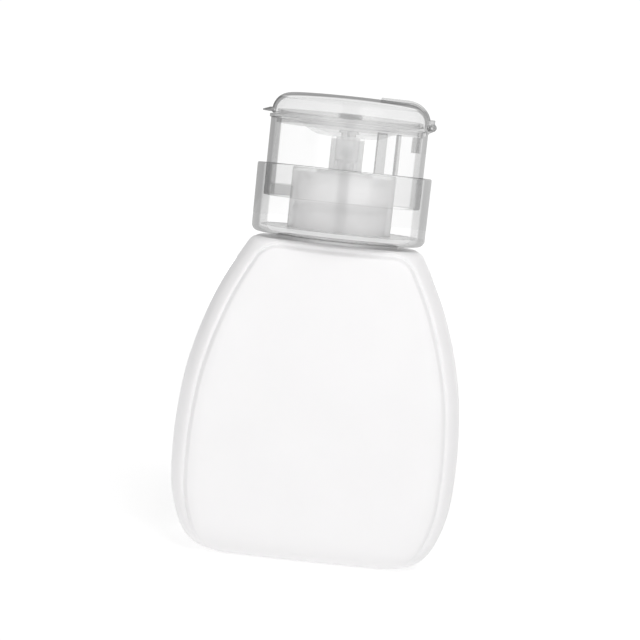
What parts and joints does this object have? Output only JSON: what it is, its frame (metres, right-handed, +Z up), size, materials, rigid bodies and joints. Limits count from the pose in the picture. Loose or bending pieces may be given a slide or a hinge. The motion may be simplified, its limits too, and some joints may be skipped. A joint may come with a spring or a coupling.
{
  "type": "pump dispenser bottle",
  "caption": "Flat egg-shaped white bottle with a clear spring-loaded dish pump, screw closure with a clear collar cup and a hinged clear lid.",
  "frame": {"origin": "centre of the base, on the surface it stands on", "axes": "+Z up the pump's axis, front panel facing -Y, lid hinge at +X, thumb tab at -X"},
  "size_m": [0.0862, 0.0524, 0.1388],
  "materials": {
    "bottle_plastic": "satin blow-moulded white",
    "gasket": "soft white polythene",
    "pump_plastic": "natural milky",
    "tube_plastic": "natural extruded tube",
    "ball_glass": "ground glass",
    "spring_steel": "drawn stainless wire",
    "piston_plastic": "soft white",
    "stem_plastic": "natural milky",
    "closure_plastic": "frosted natural",
    "clear_plastic": "polished clear",
    "dish_plastic": "clear with a light haze",
    "nozzle_plastic": "smooth",
    "pin_plastic": "smooth",
    "seal_plastic": "smooth"
  },
  "bodies": {
    "bottle": {"bottle": "bottle_plastic"},
    "seal": {"neck_gasket": "gasket"},
    "pump": {"pump_housing": "pump_plastic", "housing_cap": "pump_plastic", "dip_tube": "tube_plastic", "ball_cage": "pump_plastic", "return_spring": "spring_steel"},
    "closure": {"closure": "closure_plastic", "collar": "clear_plastic"},
    "head": {"skirt": "clear_plastic", "dish": "dish_plastic", "nozzle_insert": "nozzle_plastic", "stem": "stem_plastic", "piston": "piston_plastic", "piston_rod": "stem_plastic", "hinge_pin": "pin_plastic"},
    "lid": {"lid": "clear_plastic", "lid_seal": "seal_plastic"},
    "inlet_ball": {"inlet_ball": "ball_glass"},
    "outlet_ball": {"outlet_ball": "ball_glass"}
  },
  "joints": [
    {"name": "pump_lift_off", "type": "slide", "parent": "bottle", "child": "seal", "axis": [0, 0, 1], "range_m": [0, 0.112]},
    {"name": "thread_rise", "type": "slide", "parent": "seal", "child": "pump", "axis": [0, 0, 1], "range_m": [0, 0.0064]},
    {"name": "closure_turn", "type": "hinge", "parent": "pump", "child": "closure", "pos_m": [0, 0, 0.106], "axis": [0, 0, 1], "range_deg": [0, 540]},
    {"name": "head_press", "type": "slide", "parent": "pump", "child": "head", "axis": [0, 0, -1], "range_m": [0, 0.0075], "stiffness_N_per_m": 600, "springref_m": -0.006, "deforming": ["return_spring"]},
    {"name": "lid_hinge", "type": "hinge", "parent": "head", "child": "lid", "pos_m": [0.0245, 0, 0.13145], "axis": [0, 1, 0], "range_deg": [0, 135]},
    {"name": "inlet_valve", "type": "slide", "parent": "pump", "child": "inlet_ball", "axis": [0, 0, 1], "range_m": [0, 0.0013]},
    {"name": "outlet_valve", "type": "slide", "parent": "head", "child": "outlet_ball", "axis": [0, 0, 1], "range_m": [0, 0.0013]}
  ],
  "couplings": [
    {"joint": "thread_rise", "follows": "closure_turn", "m_per_rad": 0.00067375}
  ]
}
